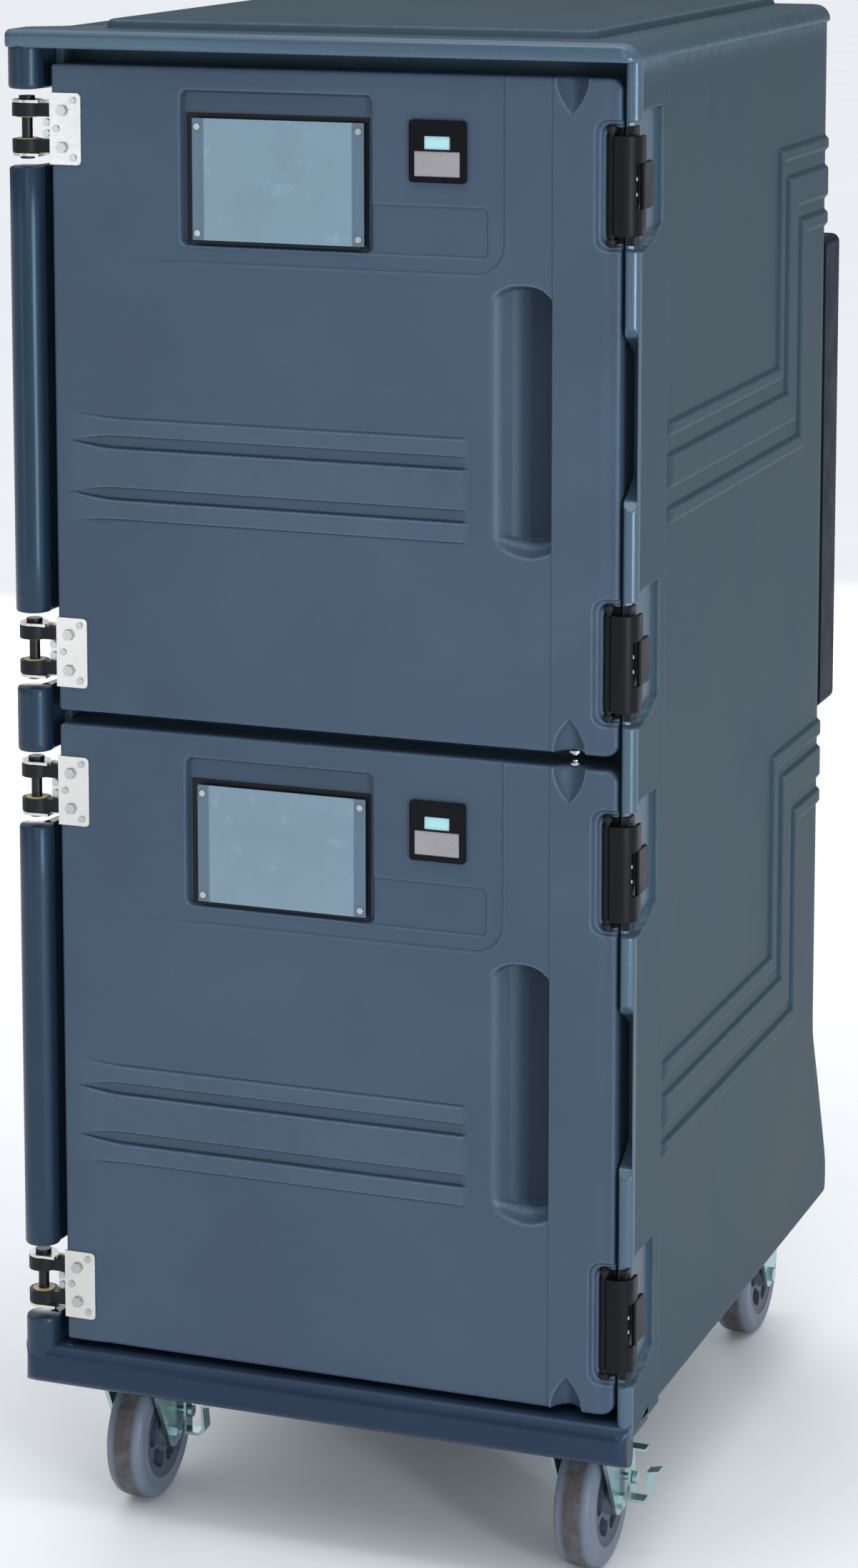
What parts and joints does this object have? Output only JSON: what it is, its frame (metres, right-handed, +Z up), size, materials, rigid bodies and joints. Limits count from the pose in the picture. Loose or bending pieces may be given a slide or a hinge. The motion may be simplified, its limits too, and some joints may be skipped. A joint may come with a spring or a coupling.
{
  "type": "heated insulated food cart",
  "caption": "Tall insulated cart with two heated compartments, left-hinged doors held by side latches, a rear fan-heater unit and swivel casters.",
  "frame": {"origin": "on the floor, at the middle of the overall box", "axes": "+Z up, doors face -Y, hinges at -X and latches at +X"},
  "size_m": [0.72, 0.908, 1.702],
  "materials": {
    "body_plastic": "grained rotationally moulded polyethylene",
    "door_plastic": "grained rotationally moulded polyethylene",
    "liner_plastic": "smooth moulded polyethylene",
    "foam": "rigid polyurethane foam",
    "gasket_rubber": "soft black seal",
    "black_nylon": "glass-filled nylon",
    "latch_nylon": "satin moulded nylon",
    "black_plastic": "matte",
    "bezel_plastic": "gloss black",
    "bush_nylon": "natural nylon",
    "black_steel": "black oxide",
    "stainless": "brushed",
    "screws": "turned and polished",
    "zinc": "blue-passivated zinc plate",
    "housing_paint": "dark navy powder coat",
    "panel_plastic": "satin overlay",
    "rocker_plastic": "gloss",
    "heater_metal": "bare steel",
    "fan_metal": "pressed sheet",
    "clear_sleeve": "translucent pale blue sheet",
    "display": "liquid crystal panel and solar cell",
    "hub_plastic": "blue-grey moulded core",
    "tyre_rubber": "grey elastomer with a darker tread"
  },
  "bodies": {
    "cabinet": {"outer_shell": "body_plastic", "upper_liner": "liner_plastic", "lower_liner": "liner_plastic", "foam_core": "foam", "hinge_brackets": "stainless", "hinge_pins": "black_steel", "cabinet_screws": "screws", "latch_keepers": "black_nylon", "heater_housing": "housing_paint", "control_panel": "panel_plastic", "heater_core": "heater_metal", "air_ducts": "stainless", "caster_plates": "zinc", "caster_bolts": "screws"},
    "fan": {"fan_wheel": "fan_metal"},
    "rocker": {"rocker_switch": "rocker_plastic"},
    "door_upper": {"upper_door_foam": "foam", "upper_door_shell": "door_plastic", "upper_door_inner": "door_plastic", "upper_door_gasket": "gasket_rubber", "upper_hinge_arms": "black_nylon", "upper_hinge_bushes": "bush_nylon", "upper_hinge_leaves": "stainless", "upper_door_screws": "screws", "upper_card_holder": "black_plastic", "upper_card_sleeve": "clear_sleeve", "upper_thermometer": "bezel_plastic", "upper_thermometer_display": "display", "upper_latch_mounts": "black_nylon"},
    "door_lower": {"lower_door_foam": "foam", "lower_door_shell": "door_plastic", "lower_door_inner": "door_plastic", "lower_door_gasket": "gasket_rubber", "lower_hinge_arms": "black_nylon", "lower_hinge_bushes": "bush_nylon", "lower_hinge_leaves": "stainless", "lower_door_screws": "screws", "lower_card_holder": "black_plastic", "lower_card_sleeve": "clear_sleeve", "lower_thermometer": "bezel_plastic", "lower_thermometer_display": "display", "lower_latch_mounts": "black_nylon"},
    "latch_upper_top": {"upper_latch_top": "latch_nylon"},
    "latch_upper_bottom": {"upper_latch_bottom": "latch_nylon"},
    "latch_lower_top": {"lower_latch_top": "latch_nylon"},
    "latch_lower_bottom": {"lower_latch_bottom": "latch_nylon"},
    "swivel_fl": {"caster_fl_fork": "zinc"},
    "wheel_fl": {"caster_fl_hub": "hub_plastic", "caster_fl_tyre": "tyre_rubber"},
    "swivel_fr": {"caster_fr_fork": "zinc"},
    "wheel_fr": {"caster_fr_hub": "hub_plastic", "caster_fr_tyre": "tyre_rubber"},
    "swivel_rl": {"caster_rl_fork": "zinc"},
    "wheel_rl": {"caster_rl_hub": "hub_plastic", "caster_rl_tyre": "tyre_rubber"},
    "swivel_rr": {"caster_rr_fork": "zinc"},
    "wheel_rr": {"caster_rr_hub": "hub_plastic", "caster_rr_tyre": "tyre_rubber"},
    "brake_fl": {"caster_fl_brake": "zinc"},
    "brake_fr": {"caster_fr_brake": "zinc"}
  },
  "joints": [
    {"name": "upper_door_hinge", "type": "hinge", "parent": "cabinet", "child": "door_upper", "pos_m": [-0.34, -0.434, 1.298], "axis": [0, 0, -1], "range_deg": [0, 265]},
    {"name": "lower_door_hinge", "type": "hinge", "parent": "cabinet", "child": "door_lower", "pos_m": [-0.34, -0.434, 0.569], "axis": [0, 0, -1], "range_deg": [0, 265]},
    {"name": "latch_upper_top_pivot", "type": "hinge", "parent": "door_upper", "child": "latch_upper_top", "pos_m": [0.328, -0.436, 1.5445], "axis": [0, 0, -1], "range_deg": [0, 95]},
    {"name": "latch_upper_bottom_pivot", "type": "hinge", "parent": "door_upper", "child": "latch_upper_bottom", "pos_m": [0.328, -0.436, 1.0415], "axis": [0, 0, -1], "range_deg": [0, 95]},
    {"name": "latch_lower_top_pivot", "type": "hinge", "parent": "door_lower", "child": "latch_lower_top", "pos_m": [0.328, -0.436, 0.815], "axis": [0, 0, -1], "range_deg": [0, 95]},
    {"name": "latch_lower_bottom_pivot", "type": "hinge", "parent": "door_lower", "child": "latch_lower_bottom", "pos_m": [0.328, -0.436, 0.316], "axis": [0, 0, -1], "range_deg": [0, 95]},
    {"name": "swivel_fl_turn", "type": "hinge", "parent": "cabinet", "child": "swivel_fl", "pos_m": [-0.252, -0.385, 0.17], "axis": [0, 0, 1], "continuous": true},
    {"name": "wheel_fl_spin", "type": "hinge", "parent": "swivel_fl", "child": "wheel_fl", "pos_m": [-0.252, -0.345, 0.076], "axis": [1, 0, 0], "continuous": true},
    {"name": "swivel_fr_turn", "type": "hinge", "parent": "cabinet", "child": "swivel_fr", "pos_m": [0.285, -0.385, 0.17], "axis": [0, 0, 1], "continuous": true},
    {"name": "wheel_fr_spin", "type": "hinge", "parent": "swivel_fr", "child": "wheel_fr", "pos_m": [0.285, -0.345, 0.076], "axis": [1, 0, 0], "continuous": true},
    {"name": "swivel_rl_turn", "type": "hinge", "parent": "cabinet", "child": "swivel_rl", "pos_m": [-0.221, 0.338, 0.17], "axis": [0, 0, 1], "continuous": true},
    {"name": "wheel_rl_spin", "type": "hinge", "parent": "swivel_rl", "child": "wheel_rl", "pos_m": [-0.221, 0.378, 0.076], "axis": [1, 0, 0], "continuous": true},
    {"name": "swivel_rr_turn", "type": "hinge", "parent": "cabinet", "child": "swivel_rr", "pos_m": [0.254, 0.338, 0.17], "axis": [0, 0, 1], "continuous": true},
    {"name": "wheel_rr_spin", "type": "hinge", "parent": "swivel_rr", "child": "wheel_rr", "pos_m": [0.254, 0.378, 0.076], "axis": [1, 0, 0], "continuous": true},
    {"name": "brake_fl_press", "type": "hinge", "parent": "swivel_fl", "child": "brake_fl", "pos_m": [-0.212, -0.324, 0.096], "axis": [1, 0, 0], "range_deg": [0, 14]},
    {"name": "brake_fr_press", "type": "hinge", "parent": "swivel_fr", "child": "brake_fr", "pos_m": [0.325, -0.324, 0.096], "axis": [1, 0, 0], "range_deg": [0, 14]},
    {"name": "fan_spin", "type": "hinge", "parent": "cabinet", "child": "fan", "pos_m": [0.02, 0.358, 1.12], "axis": [0, 1, 0], "continuous": true},
    {"name": "rocker_tip", "type": "hinge", "parent": "cabinet", "child": "rocker", "pos_m": [0.25, 0.388, 1.345], "axis": [-1, 0, 0], "range_deg": [0, 14]}
  ]
}
